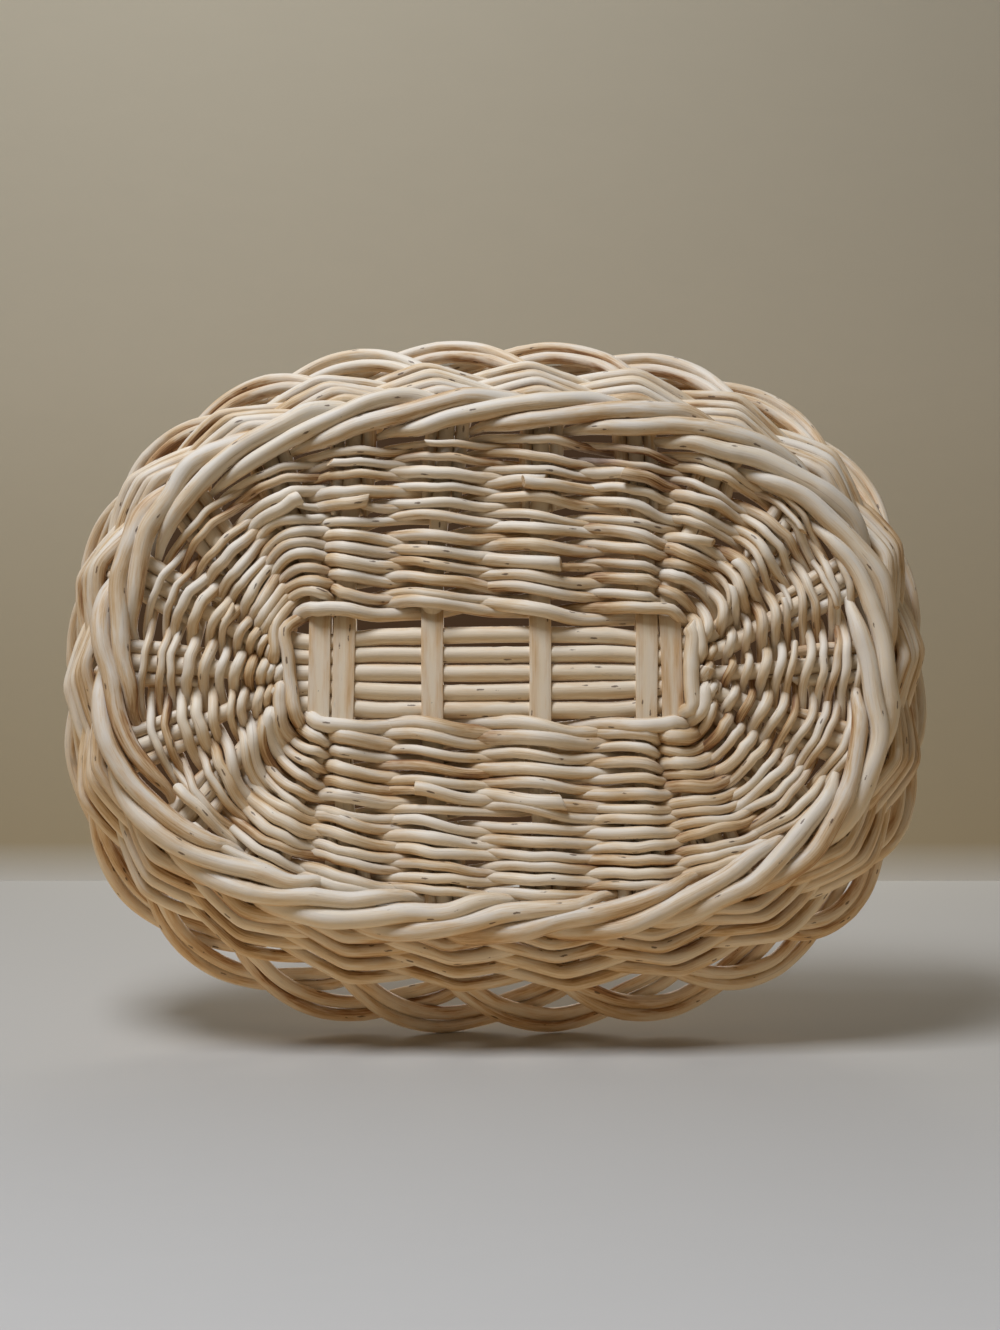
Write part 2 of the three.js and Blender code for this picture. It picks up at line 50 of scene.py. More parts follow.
# The sticks, the edge of the base and the wall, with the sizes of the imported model. The slath is the
# cross of sticks in the middle, and the fan line is where the sticks begin to spread from it.
SPOKES = 22
LONG_STICK_STEPS = range(-2, 3)  # the five long sticks, counted from the middle one
LONG_STICK = 7.0
CROSS_STICK = 8.0
STICK_END = 6.2
STAKE = 5.4
LONG_STICK_PITCH = 7.6
CROSS_STICK_PLACES = (-70.4, -60.5, -25.0, 18.0, 60.5, 70.4)
SLATH_OFFSET = 4.5
EDGE_HEIGHT = 10.2
SLATH_HEIGHT = 14.2
FAN_HALF_LENGTH = 86.0
FAN_HALF_WIDTH = 32.0
FAN_TO_EDGE = 68.0
OVAL_SQUARENESS = 2.5
LEAN = 0.17
LAST_SIDE_ROUND = 35.0
ARCH_HEIGHT = 24.4
TUCK_DEPTH = 5.0

# The rows of the base run in one spiral from the slath to the edge. Where a row lies is a share of the
# way from the fan line, at 0, to the edge, at 1.
BASE_ROWS = 12.5
FIRST_ROW_AT = -0.152
FIRST_TURN_STAYS = 0.55  # the part of a turn by which the spiral waits at the slath before it widens
ROW_STEP = 0.0985
ROW_CLOSING = 0.0008  # each row lies a little closer to the last one than that one did
ROWS_AT_ENDS = 0.6  # how far apart the rows inside the fan line lie at the slath's ends, against its sides
# Exponents of the shares at the +X and -X ends. Below 1 the rows crowd to the edge, above 1 to the slath.
ROWS_OPEN_OUT = {1: 0.86, -1: 1.2}
# The weave is uneven at the -X end: rows and how far they are moved, then spokes and their part in it.
DRAWN_IN = ((0.4, 1.4), (0.045, 0))
DRAWN_IN_SPOKES = ((7, 9, 11), (0, 1, 0))
PUSHED_OUT = ((0.6, 1.6, 2.6, 3.6, 4.6, 5.6), (0.07, 0.085, 0.06, 0.035, 0.015, 0))
PUSHED_OUT_SPOKES = ((10, 13, 14, 20), (0, 1, 0.6, 0))


class Oval:
    """An oval of the basket, walked in equal steps from the +X end towards +Y."""

    POINTS = 2881

    def __init__(self, half_length, half_width):
        turn = np.linspace(0, 2 * math.pi, self.POINTS)
        power = 2 / OVAL_SQUARENESS
        sides = [
            size * np.sign(wave) * np.abs(wave) ** power
            for size, wave in ((half_length, np.cos(turn)), (half_width, np.sin(turn)))
        ]
        self.points = np.stack(sides, -1)
        steps = np.linalg.norm(np.diff(self.points, axis=0), axis=1)
        self.walked = np.concatenate([[0], np.cumsum(steps)]) / steps.sum()

    def at(self, place):
        share = np.asarray(place, float) / SPOKES % 1
        return np.stack([np.interp(share, self.walked, side) for side in self.points.T], -1)


EDGE_HALF_LENGTH, EDGE_HALF_WIDTH = 153, 100
EDGE_OVAL = Oval(EDGE_HALF_LENGTH, EDGE_HALF_WIDTH)
FOOT_OVAL = Oval(149.5, 100.5)
# The wall's ovals at its foot, in its middle and at its top, and how high the last two lie over the edge.
WALL_OVALS = (Oval(155.5, 102.5), Oval(169.5, 124), Oval(176.5, 143.5))
WALL_RISES = (24.8, 49.8)


def unit(vectors):
    return vectors / np.linalg.norm(vectors, axis=-1, keepdims=True)


def mixed(a, b, share):
    return a + (b - a) * np.asarray(share)[..., None]


def eased(value, low, high):
    share = np.clip((value - low) / (high - low), 0, 1)
    return share * share * (3 - 2 * share)


def wall_point(place, height):
    """A point in the middle of the wall."""
    place, height = np.broadcast_arrays(np.asarray(place, float), np.asarray(height, float))
    foot, middle, top = (oval.at(place) for oval in WALL_OVALS)
    rise = height - EDGE_HEIGHT
    half, full = WALL_RISES
    lower = mixed(foot, middle, rise / half)
    upper = mixed(middle, top, (rise - half) / (full - half))
    flat = np.where((rise < half)[..., None], lower, upper)
    return np.concatenate([flat, height[..., None]], -1)


def wall_directions(place, height):
    """The directions up the wall and out of it."""
    step = 0.05
    along = unit(wall_point(place + step, height) - wall_point(place - step, height))
    up = wall_point(place, height + step) - wall_point(place, height)
    up = unit(up - along * np.sum(up * along, -1, keepdims=True))
    return up, np.cross(along, up)


def leaning_place(place, height):
    return place - LEAN * (height - EDGE_HEIGHT) / (LAST_SIDE_ROUND - EDGE_HEIGHT)


# The spokes are the ends of the sticks. Each has its point on the fan line, the way it runs inside
# that line, and the point where it would meet the edge.
fan = np.zeros((SPOKES, 3))
inner_way = np.zeros((SPOKES, 3))
fan_radius = np.zeros(SPOKES)
for offset in LONG_STICK_STEPS:
    for side, spoke in ((1, offset % SPOKES), (-1, SPOKES // 2 - offset)):
        fan[spoke] = (side * FAN_HALF_LENGTH, SLATH_OFFSET + offset * LONG_STICK_PITCH, SLATH_HEIGHT)
        inner_way[spoke] = (side * ROWS_AT_ENDS, 0, 0)
        fan_radius[spoke] = LONG_STICK / 2
for number, x in enumerate(CROSS_STICK_PLACES):
    for side, spoke in ((1, 8 - number), (-1, 14 + number)):
        fan[spoke] = (x, SLATH_OFFSET + side * FAN_HALF_WIDTH, SLATH_HEIGHT)
        inner_way[spoke] = (0, side, 0)
        fan_radius[spoke] = CROSS_STICK / 2
edge = np.concatenate([EDGE_OVAL.at(np.arange(SPOKES)), np.full((SPOKES, 1), EDGE_HEIGHT)], -1)


def on_spoke(spoke, share):
    """Points of spokes, inside the fan line where the share is below 0, and at the edge where it is 1."""
    spoke = np.asarray(spoke) % SPOKES
    share = np.asarray(share, float)[..., None]
    spread = fan[spoke] + (edge[spoke] - fan[spoke]) * share
    straight = fan[spoke] + inner_way[spoke] * share * FAN_TO_EDGE
    return np.where(share > 0, spread, straight)


def spoke_radius(spoke, share):
    spoke = np.asarray(spoke) % SPOKES
    return fan_radius[spoke] + (STICK_END / 2 - fan_radius[spoke]) * np.clip(share, 0, 1)


def distances(points):
    steps = np.linalg.norm(np.diff(points, axis=0), axis=1)
    return np.concatenate([[0], np.cumsum(steps)])


def arc(before, start, end, after, share):
    """Points of a smooth line between start and end, which knows the points before and after them."""
    stretches = (start - before, end - start, after - end)
    lengths = [np.linalg.norm(stretch, axis=-1)[..., None] for stretch in stretches]
    speeds = [stretch / length for stretch, length in zip(stretches, lengths)]
    leaving = (speeds[0] * lengths[1] + speeds[1] * lengths[0]) / (lengths[0] + lengths[1])
    arriving = (speeds[1] * lengths[2] + speeds[2] * lengths[1]) / (lengths[1] + lengths[2])
    f = np.asarray(share)[..., None]
    bend = f * (1 - f) * lengths[1] * ((1 - f) * leaving - f * arriving)
    return start + (end - start) * f * f * (3 - 2 * f) + bend


ARC_STEPS = 16


def smooth_way(points, spacing):
    """A smooth line through points, cut into even steps, and how far along it each step is."""
    points = np.asarray(points, float)
    ends = np.concatenate([[2 * points[0] - points[1]], points, [2 * points[-1] - points[-2]]])
    share = np.arange(ARC_STEPS) / ARC_STEPS
    parts = [
        arc(*(np.broadcast_to(ends[i + j], (ARC_STEPS, 3)) for j in range(4)), share)
        for i in range(len(points) - 1)
    ]
    return even_steps(np.concatenate([*parts, points[-1:]]), spacing)


def even_steps(way, spacing):
    walked = distances(way)
    even = np.linspace(0, walked[-1], max(3, int(round(walked[-1] / spacing))) + 1)
    return np.stack([np.interp(even, walked, side) for side in way.T], -1), even


def drift(walked, size, wave):
    """A slow wandering of about the given size."""
    total = np.zeros_like(walked)
    for _ in range(3):
        length = wave * dice.uniform(0.6, 1.6)
        total = total + np.sin(2 * math.pi * (walked / length + dice.random()))
    return total * size / 2


def wandering(way, walked, sideways, upwards, wave):
    """The way of a rod that is not quite true."""
    across = unit(np.cross(np.gradient(way, axis=0), UP))
    moved = way + across * drift(walked, sideways, wave)[:, None]
    return moved + UP * drift(walked, upwards, wave)[:, None]


def carried_sideways(tangents, first):
    """A direction across the way, carried along it without twist."""
    current = np.asarray(first, float)
    found = []
    for tangent in tangents:
        current = current - tangent * np.dot(current, tangent)
        current = current / np.linalg.norm(current)
        found.append(current)
    return np.array(found)


WALL_BEGINS = (12, 34)  # heights between which the way out turns from down to sideways
TURNS_SIDEWAYS = 0.6


def way_out(points):
    """The way out of the basket at some points: down at the base, and more sideways on the wall."""
    sideways = unit(points * (1 / EDGE_HALF_LENGTH**2, 1 / EDGE_HALF_WIDTH**2, 0) + (1e-9, 0, 0))
    turned = TURNS_SIDEWAYS * eased(points[:, 2], *WALL_BEGINS)
    return unit(mixed(np.broadcast_to(-UP, points.shape), sideways, turned))


WEAR_AND_PAINTED_SHADE = 0.45  # how much paler in tone the faces are than the flanks: partly wear, partly painted shade on the flanks in the hollows
# The last rings of a rod: the share of its thickness, and how far past its end, in thicknesses.
ROUNDED_EDGE = (0.86, 0.13)
END_FACE = (0.5, 0.14)
OUT_OF_ROUND = 0.035
# Buds, as ranges: their width, how much they swell the rod, and how far apart they are.
BUD_WIDTH = (1.4, 2.6)
BUD_SWELLING = (0.03, 0.075)
BUD_SPACING = (26, 62)


class Bundle:
    """Rods that go into one piece. Each corner keeps its place in the grain and its tone.

    The faces of a rod are pale from wear, most of all outside, and its flanks in the hollows are given a
    darker tan, which is painted shade.
    """

    def __init__(self):
        self.corners, self.grain, self.tone = [], [], []
        self.faces, self.cut = [], []
        self.count = 0

    def sweep(self, way, walked, outlines, tone, slants, first):
        """A closed rod. An outline gives the corners of a ring, sideways and across that."""
        tangents = unit(np.gradient(way, axis=0))
        sideways = carried_sideways(tangents, first)
        across = np.cross(tangents, sideways)
        rings = (
            way[:, None]
            + outlines[:, :, :1] * sideways[:, None]
            + outlines[:, :, 1:] * across[:, None]
        )
        # Painted shade and wear: the tone is darkest on the flanks, which lie in the hollows, and palest on
        # the faces that point out of the basket.
        facing = np.sum((rings - way[:, None]) * way_out(way)[:, None], -1)
        facing = facing / np.linalg.norm(outlines, axis=-1)
        wear_and_shade = np.abs(facing) - 0.5 + 0.3 * facing
        sides = outlines.shape[1]
        along = np.broadcast_to(walked[:, None, None] + dice.uniform(0, 4000), (len(way), sides, 1))
        grain = np.concatenate([along, outlines], -1)
        ends = []
        for end, sign, slant in ((0, -1, slants[0]), (-1, 1, slants[1])):
            turn = dice.uniform(0, 2 * math.pi)
            lean = outlines[end] @ (math.cos(turn), math.sin(turn))
            rings[end] += sign * tangents[end] * (slant * (lean - lean.min()))[:, None]
            middle = rings[end].mean(0)
            radius = np.linalg.norm(rings[end] - middle, axis=1).mean()
            out = sign * tangents[end] * radius
            ends.append([
                middle + (rings[end] - middle) * size + out * far
                for size, far in (ROUNDED_EDGE, END_FACE)
            ])
        (start_edge, start_face), (end_edge, end_face) = ends
        rings = np.concatenate([[start_face, start_edge], rings, [end_edge, end_face]])
        grain = np.concatenate([grain[:1], grain[:1], grain, grain[-1:], grain[-1:]])
        tones = np.broadcast_to(tone, len(way))[:, None] - WEAR_AND_PAINTED_SHADE * np.clip(wear_and_shade, -1, 1)
        tones = np.concatenate([tones[:1], tones[:1], tones, tones[-1:], tones[-1:]])
        index = self.count + np.arange(rings.shape[0] * sides).reshape(-1, sides)
        lower, upper = index[:-1], index[1:]
        quads = np.stack([lower, np.roll(lower, -1, 1), np.roll(upper, -1, 1), upper], -1)
        cut = np.zeros(quads.shape[:2], bool)
        cut[0] = cut[-1] = True
        self.faces += quads.reshape(-1, 4).tolist() + [index[0][::-1].tolist(), index[-1].tolist()]
        self.cut += cut.ravel().tolist() + [True, True]
        self.corners.append(rings.reshape(-1, 3))
        self.grain.append(grain.reshape(-1, 3))
        self.tone.append(tones.ravel())
        self.count += rings.shape[0] * sides

    def rod(self, way, walked, radii, tone, sides=12, slants=(0.3, 0.6)):
        """A round rod, a little out of round, with the swellings where its buds were."""
        turn = 2 * math.pi * np.arange(sides) / sides
        squash = 1 + OUT_OF_ROUND * np.cos(2 * turn + dice.uniform(0, 6))
        circle = np.stack([np.cos(turn), np.sin(turn)], -1) * squash[:, None]
        swelling = 1 + drift(walked, 0.02, 60)
        bud = walked[0] + dice.uniform(5, 50)
        while bud < walked[-1]:
            width = dice.uniform(*BUD_WIDTH)
            swelling += dice.uniform(*BUD_SWELLING) * np.exp(-(((walked - bud) / width) ** 2))
            bud += dice.uniform(*BUD_SPACING)
        sizes = np.broadcast_to(radii, len(way)) * swelling
        tones = tone + drift(walked, 0.12, 90)
        first = np.cross(way[1] - way[0], UP + 0.01)
        self.sweep(way, walked, sizes[:, None, None] * circle, tones, slants, first)


def tapered(walked, butt, tip):
    share = (walked - walked[0]) / (walked[-1] - walked[0])
    return butt + (tip - butt) * share


def linear(value):
    """An sRGB share as the linear one."""
    return value / 12.92 if value <= 0.04045 else ((value + 0.055) / 1.055) ** 2.4


def colour(code):
    return tuple(linear(int(code[i : i + 2], 16) / 255) for i in (1, 3, 5)) + (1.0,)


def add(tree, kind, inputs=(), stops=(), **settings):
    """Adds a node. An input is a value, or the socket of another node that it is linked to."""
    made = tree.nodes.new(kind)
    for name, value in settings.items():
        setattr(made, name, value)
    for position, code in stops[2:]:
        made.color_ramp.elements.new(position)
    for element, (position, code) in zip(made.color_ramp.elements if stops else (), stops):
        element.position, element.color = position, colour(code)
    for name, value in dict(inputs).items():
        if isinstance(value, bpy.types.NodeSocket):
            tree.links.new(value, made.inputs[name])
        else:
            made.inputs[name].default_value = value
    return made


def new_material(name):
    material = bpy.data.materials.new(name)
    material.use_nodes = True
    material.node_tree.nodes.clear()
    return material, material.node_tree


def peeled_willow(name, pale, cream, tan, painted_hollow_shade, roughness, streaks=1.0, chalk=0.0):
    """Willow rod with its bark stripped off after boiling or in spring.

    The bare wood is smooth and has a dull sheen. Its fine grain runs along the rod, and each bud
    leaves a small dark scar. Streaks are the strength of the grain and creases, and chalk that of
    the pale bloom.
    """
    material, tree = new_material(name)
    grain = add(tree, "ShaderNodeAttribute", attribute_name="grain").outputs["Vector"]
    tone = add(tree, "ShaderNodeAttribute", attribute_name="tone").outputs["Fac"]

    # Fibres are drawn about half a millimetre wide, because real ones are too fine to show.
    fibre_space = add(tree, "ShaderNodeMapping", {"Vector": grain, "Scale": (0.05, 2.0, 2.0)})
    fibres = add(tree, "ShaderNodeTexNoise", {
        "Vector": fibre_space.outputs[0], "Scale": 1.0, "Detail": 3.0, "Roughness": 0.55})
    # Weathered and tanned stretches are some centimetres long and some millimetres wide.
    patch_space = add(tree, "ShaderNodeMapping", {"Vector": grain, "Scale": (0.035, 0.22, 0.22)})
    patches = add(tree, "ShaderNodeTexNoise", {
        "Vector": patch_space.outputs[0], "Scale": 1.0, "Detail": 4.0, "Roughness": 0.6})
    shade = add(tree, "ShaderNodeMath", {0: patches.outputs["Fac"], 1: 0.8}, operation="MULTIPLY")
    shade = add(tree, "ShaderNodeMath", {
        0: fibres.outputs["Fac"], 1: 0.5 * streaks, 2: shade.outputs[0]}, operation="MULTIPLY_ADD")
    shade = add(tree, "ShaderNodeMath", {
        0: tone, 1: 0.42, 2: shade.outputs[0]}, operation="MULTIPLY_ADD")
    # The last stop is painted shade: the darkest brown, which the high tones of the flanks and crevices
    # reach.
    wood = add(tree, "ShaderNodeValToRGB", {"Fac": shade.outputs[0]},
               stops=((0.5, pale), (0.77, cream), (0.93, tan), (1.0, painted_hollow_shade)))

    # Drying leaves thin brown creases, some centimetres long, that follow the grain.
    crease_space = add(tree, "ShaderNodeMapping", {"Vector": grain, "Scale": (0.022, 1.15, 1.15),
                                                  "Location": (3.0, 21.0, 8.0)})
    creases = add(tree, "ShaderNodeTexNoise", {
        "Vector": crease_space.outputs[0], "Scale": 1.0, "Detail": 4.0, "Roughness": 0.65})
    crease = add(tree, "ShaderNodeMapRange", {
        "Value": creases.outputs["Fac"], "From Min": 0.6, "From Max": 0.7, "To Max": 0.5 * streaks})
    creased = add(tree, "ShaderNodeMix", {
        0: crease.outputs[0], 6: wood.outputs["Color"], 7: colour("#8a6743")}, data_type="RGBA")
    # Grey stains and a chalky bloom are a centimetre or two long.
    stain_space = add(tree, "ShaderNodeMapping", {"Vector": grain, "Scale": (0.045, 0.13, 0.13),
                                                 "Location": (13.0, 5.0, 2.0)})
    stain = add(tree, "ShaderNodeTexNoise", {
        "Vector": stain_space.outputs[0], "Scale": 1.0, "Detail": 5.0, "Roughness": 0.7})
    stained = add(tree, "ShaderNodeMapRange", {
        "Value": stain.outputs["Fac"], "From Min": 0.64, "From Max": 0.76, "To Max": 0.5})
    grey = add(tree, "ShaderNodeMix", {
        0: stained.outputs[0], 6: creased.outputs[2], 7: colour("#8d8779")}, data_type="RGBA")
    bloom = add(tree, "ShaderNodeMapRange", {
        "Value": patches.outputs["Fac"], "From Min": 0.56, "From Max": 0.4,
        "To Min": 0.0, "To Max": chalk})
    chalky = add(tree, "ShaderNodeMix", {
        0: bloom.outputs[0], 6: grey.outputs[2], 7: colour("#d9d5cd")}, data_type="RGBA")
    # Bud scars and bruises are under a millimetre wide and drawn out along the rod.
    scar_space = add(tree, "ShaderNodeMapping", {"Vector": grain, "Scale": (0.07, 0.27, 0.27)})
    scars = add(tree, "ShaderNodeTexVoronoi", {"Vector": scar_space.outputs[0], "Scale": 1.0})
    scar_size = add(tree, "ShaderNodeTexNoise", {"Vector": grain, "Scale": 0.9, "Detail": 2.0})
    scar_edge = add(tree, "ShaderNodeMath", {
        0: scar_size.outputs["Fac"], 1: 0.16, 2: scars.outputs["Distance"]}, operation="MULTIPLY_ADD")
    scar = add(tree, "ShaderNodeMapRange", {
        "Value": scar_edge.outputs[0], "From Min": 0.165, "From Max": 0.205,
        "To Min": 0.8, "To Max": 0.0})
    final = add(tree, "ShaderNodeMix", {
        0: scar.outputs[0], 6: chalky.outputs[2], 7: colour("#4c321d")}, data_type="RGBA")

    rough = add(tree, "ShaderNodeMapRange", {
        "Value": fibres.outputs["Fac"], "To Min": roughness - 0.08, "To Max": roughness + 0.1})
    bump = add(tree, "ShaderNodeBump", {
        "Strength": 0.5, "Distance": 0.2 * MM, "Height": fibres.outputs["Fac"]})
    shader = add(tree, "ShaderNodeBsdfPrincipled", {
        "Base Color": final.outputs[2], "Roughness": rough.outputs[0], "IOR": 1.5,
        "Normal": bump.outputs[0]})
    add(tree, "ShaderNodeOutputMaterial", {"Surface": shader.outputs[0]})
    return material


def cut_willow():
    """The cut end of a rod: pale fibrous wood round a darker pith, left dull by the knife."""
    material, tree = new_material("cut_end_of_willow")
    grain = add(tree, "ShaderNodeAttribute", attribute_name="grain").outputs["Vector"]
    spread = add(tree, "ShaderNodeTexNoise", {"Vector": grain, "Scale": 1.6, "Detail": 3.0})
    wood = add(tree, "ShaderNodeValToRGB", {"Fac": spread.outputs["Fac"]},
               stops=((0.3, "#94765a"), (0.52, "#cdb48f"), (0.75, "#e6d8bd")))
    bump = add(tree, "ShaderNodeBump", {
        "Strength": 0.6, "Distance": 0.2 * MM, "Height": spread.outputs["Fac"]})
    shader = add(tree, "ShaderNodeBsdfPrincipled", {
        "Base Color": wood.outputs["Color"], "Roughness": 0.8, "IOR": 1.5, "Normal": bump.outputs[0]})
    add(tree, "ShaderNodeOutputMaterial", {"Surface": shader.outputs[0]})
    return material


weaver_willow = peeled_willow(
    "peeled_willow_weavers", "#e6dac4", "#cdb28a", "#9e764a", "#755031", roughness=0.6, chalk=0.45)
stake_willow = peeled_willow(
    "peeled_willow_stakes", "#e2d5be", "#cdb18a", "#a1774c", "#815b39", roughness=0.58, chalk=0.4)
stick_willow = peeled_willow(
    "shaved_willow_sticks", "#e0d1b7", "#ceb088", "#a2784e", "#7a5535",
    roughness=0.56, streaks=0.5, chalk=0.2)
foot_willow = peeled_willow(
    "scuffed_willow_foot", "#dfd3bd", "#cbb08a", "#9f7548", "#77522f", roughness=0.56, chalk=0.6)
cut_end = cut_willow()


made_corners = []


def make_piece(name, bundle, willow, replaced):
    mesh = bpy.data.meshes.new(name)
    made_corners.append(np.concatenate(bundle.corners))
    corners = made_corners[-1] * MM
    mesh.from_pydata(corners.tolist(), [], bundle.faces)
    mesh.attributes.new("grain", "FLOAT_VECTOR", "POINT").data.foreach_set(
        "vector", np.concatenate(bundle.grain).astype(np.float32).ravel())
    mesh.attributes.new("tone", "FLOAT", "POINT").data.foreach_set(
        "value", np.concatenate(bundle.tone).astype(np.float32))
    mesh.materials.append(willow)
    mesh.materials.append(cut_end)
    cut = np.array(bundle.cut)
    mesh.polygons.foreach_set("material_index", cut.astype(np.int32))
    mesh.polygons.foreach_set("use_smooth", ~cut)
    piece = bpy.data.objects.new(name, mesh)
    bpy.context.scene.collection.objects.link(piece)
    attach(piece, "root")
    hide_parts(*replaced)


# The camera looks at the underside from a little above, as in the photo.
FRAME_HEIGHT = 1330  # in pixels
FOCAL_PIXELS = 1625
CAMERA_DISTANCE = 650
AIM = np.array([2.0, 1.6, 12.0])
RIGHT = np.array([1.0, 0.0, 0.0])
TO_CAMERA = unit(np.array([0.0, 0.144, -0.99]))
VIEW_UP = unit(np.array([0.0, -0.99, -0.144]))
camera_point = AIM + TO_CAMERA * CAMERA_DISTANCE

camera_data = bpy.data.cameras.new("camera")
camera_data.sensor_width = 36
camera_data.lens = FOCAL_PIXELS / FRAME_HEIGHT * camera_data.sensor_width
camera_data.clip_end = 20
camera = bpy.data.objects.new("camera", camera_data)
bpy.context.scene.collection.objects.link(camera)
camera_axes = np.stack([np.cross(VIEW_UP, TO_CAMERA), VIEW_UP, TO_CAMERA], -1)
camera_turn = Matrix(camera_axes.tolist()).to_4x4()
camera.matrix_world = Matrix.Translation(Vector(camera_point * MM)) @ camera_turn
bpy.context.scene.camera = camera

# The long sticks, as radii at the thick and the thin end. Every other one lies the other way round.
STICKS_END_AT = 0.975
LONG_STICK_BUTT, LONG_STICK_TIP = 3.65, 3.2
for number, offset in enumerate(LONG_STICK_STEPS, 1):
    left, right = SPOKES // 2 - offset, offset % SPOKES
    controls = [on_spoke(left, s) for s in (STICKS_END_AT, 0.5, 0.0)]
    controls += [(x, SLATH_OFFSET + offset * LONG_STICK_PITCH, SLATH_HEIGHT) for x in (-43, 0, 43)]
    controls += [on_spoke(right, s) for s in (0.0, 0.5, STICKS_END_AT)]
    way, walked = smooth_way(controls, spacing=3.0)
    way = wandering(way, walked, sideways=0.45, upwards=0.25, wave=150)
    stick = Bundle()
    ends = (LONG_STICK_BUTT, LONG_STICK_TIP)
    radii = tapered(walked, *(ends if number % 2 else ends[::-1]))
    stick.rod(way, walked, radii, dice.uniform(-0.05, 0.45), sides=16)
    make_piece(f"willow_long_stick_{number}", stick, stick_willow, [f"long_stick_{number}"])

# The cross sticks. Each is split in its middle, and its halves pass below and above the long sticks.
# A half has a round face and a flat one, which is a little narrower.
HALVES_CLOSE_AT = (19.5, 29.0)
HALF_LIFT = LONG_STICK / 2 + 0.35
HALF_CORNERS = 9
FLAT_CORNERS = 5
CROSS_STICK_RADIUS = 4.35
SHAVED_OFF = 1.25  # at the ends, from that radius
for number, x in enumerate(CROSS_STICK_PLACES):
    near, far = 14 + number, 8 - number
    controls = [on_spoke(near, s) for s in (STICKS_END_AT, 0.5, 0.0)]
    controls += [(x, SLATH_OFFSET + y, SLATH_HEIGHT) for y in (-15, 0, 15)]
    controls += [on_spoke(far, s) for s in (0.0, 0.5, STICKS_END_AT)]
    middle, walked = smooth_way(controls, spacing=2.2)
    middle = wandering(middle, walked, sideways=0.35, upwards=0.0, wave=140)
    apart = 1 - eased(np.abs(middle[:, 1] - SLATH_OFFSET), *HALVES_CLOSE_AT)
    shaved = np.clip(np.abs(middle[:, 1]) / EDGE_HALF_WIDTH * 1.3 - 0.35, 0, 1)
    radii = CROSS_STICK_RADIUS - SHAVED_OFF * shaved + drift(walked, 0.08, 60)
    stick = Bundle()
    for side in (-1, 1):
        turn = math.pi * np.arange(HALF_CORNERS) / (HALF_CORNERS - 1)
        round_face = np.stack([np.cos(turn), np.sin(turn) ** 0.9], -1)
        flat_face = np.stack([np.linspace(-0.94, 0.94, FLAT_CORNERS), np.full(FLAT_CORNERS, -0.03)], -1)
        outlines = radii[:, None, None] * np.concatenate([round_face, flat_face])
        way = middle + UP * (side * HALF_LIFT * apart)[:, None]
        tones = dice.uniform(-0.05, 0.35) + drift(walked, 0.1, 90)
        stick.sweep(way, walked, outlines, tones, slants=(0.1, 0.1), first=(side, 0.0, 0.0))
    make_piece(f"willow_cross_stick_{number + 1}", stick, stick_willow,
               [f"cross_stick_{number + 1}"])

# The line of the base weave, which goes round and round from the slath to the edge. Its turns count
# the spokes that it has passed.
WEAVE_START = -2.2
WEAVE_END = BASE_ROWS * SPOKES + WEAVE_START
STEPS_PER_SPACE = 16
CORNER_SPACES = (2, 8, 13, 19)  # the spaces between spokes that lie at a corner of the slath
# Shares, and how far the weave goes out there.
CORNER_BULGES = ((-0.1, 0.0, 0.3, 0.9), (0.5, 2.5, 2.5, 0.3))
# The spokes that are held as one in the first two rows.
GROUPED_ROWS = (
    ((-2, 2), (3, 4), (5, 5), (6, 6), (7, 8), (9, 13), (14, 15), (16, 16), (17, 17), (18, 19)),
    ((-2, -1), (0, 0), (1, 2), (3, 3), (4, 4), (5, 5), (6, 6), (7, 7), (8, 8),
     (9, 10), (11, 11), (12, 13), (14, 14), (15, 15), (16, 16), (17, 17), (18, 18), (19, 19)),
)


def row_share(turns):
    """Where the spiral lies after these turns."""
    row = turns / SPOKES
    stays = FIRST_TURN_STAYS * (1 - np.exp(-np.maximum(row, 0) / FIRST_TURN_STAYS))
    place = turns % SPOKES
    drawn_in = np.interp(row, *DRAWN_IN) * np.interp(place, *DRAWN_IN_SPOKES)
    pushed_out = np.interp(row, *PUSHED_OUT) * np.interp(place, *PUSHED_OUT_SPOKES)
    return FIRST_ROW_AT + ROW_STEP * (row - stays) - ROW_CLOSING * row * row + pushed_out - drawn_in


first_step, last_step = (round(turn * STEPS_PER_SPACE) for turn in (WEAVE_START, WEAVE_END))
turns = np.arange(first_step, last_step + 1) / STEPS_PER_SPACE
spoke_before = np.floor(turns).astype(int)
past_spoke = turns - spoke_before
weave_share = row_share(turns)


def row_point(spoke, share):
    """A point of the weave on a spoke."""
    opening = np.array([ROWS_OPEN_OUT[np.sign(x)] if x else 1.0 for x in inner_way[:, 0]])
    opened = np.abs(share) ** opening[np.asarray(spoke) % SPOKES]
    return on_spoke(spoke, np.where(share > 0, opened, share))


weave_line = arc(*(row_point(spoke_before + step, weave_share) for step in (-1, 0, 1, 2)), past_spoke)
weave_out = unit(np.cross(np.gradient(weave_line, axis=0), UP))
bulges = 4 * past_spoke * (1 - past_spoke) * np.interp(weave_share, *CORNER_BULGES)
weave_line += weave_out * np.where(np.isin(spoke_before % SPOKES, CORNER_SPACES), bulges, 0)[:, None]
weave_walked = distances(weave_line)
# No row lies quite even: here it is pushed close to its neighbour, there it leaves a gap.
weave_line += weave_out * drift(weave_walked, 1.05, 110)[:, None]


def walked_at(turn):
    return np.interp(turn, turns, weave_walked)


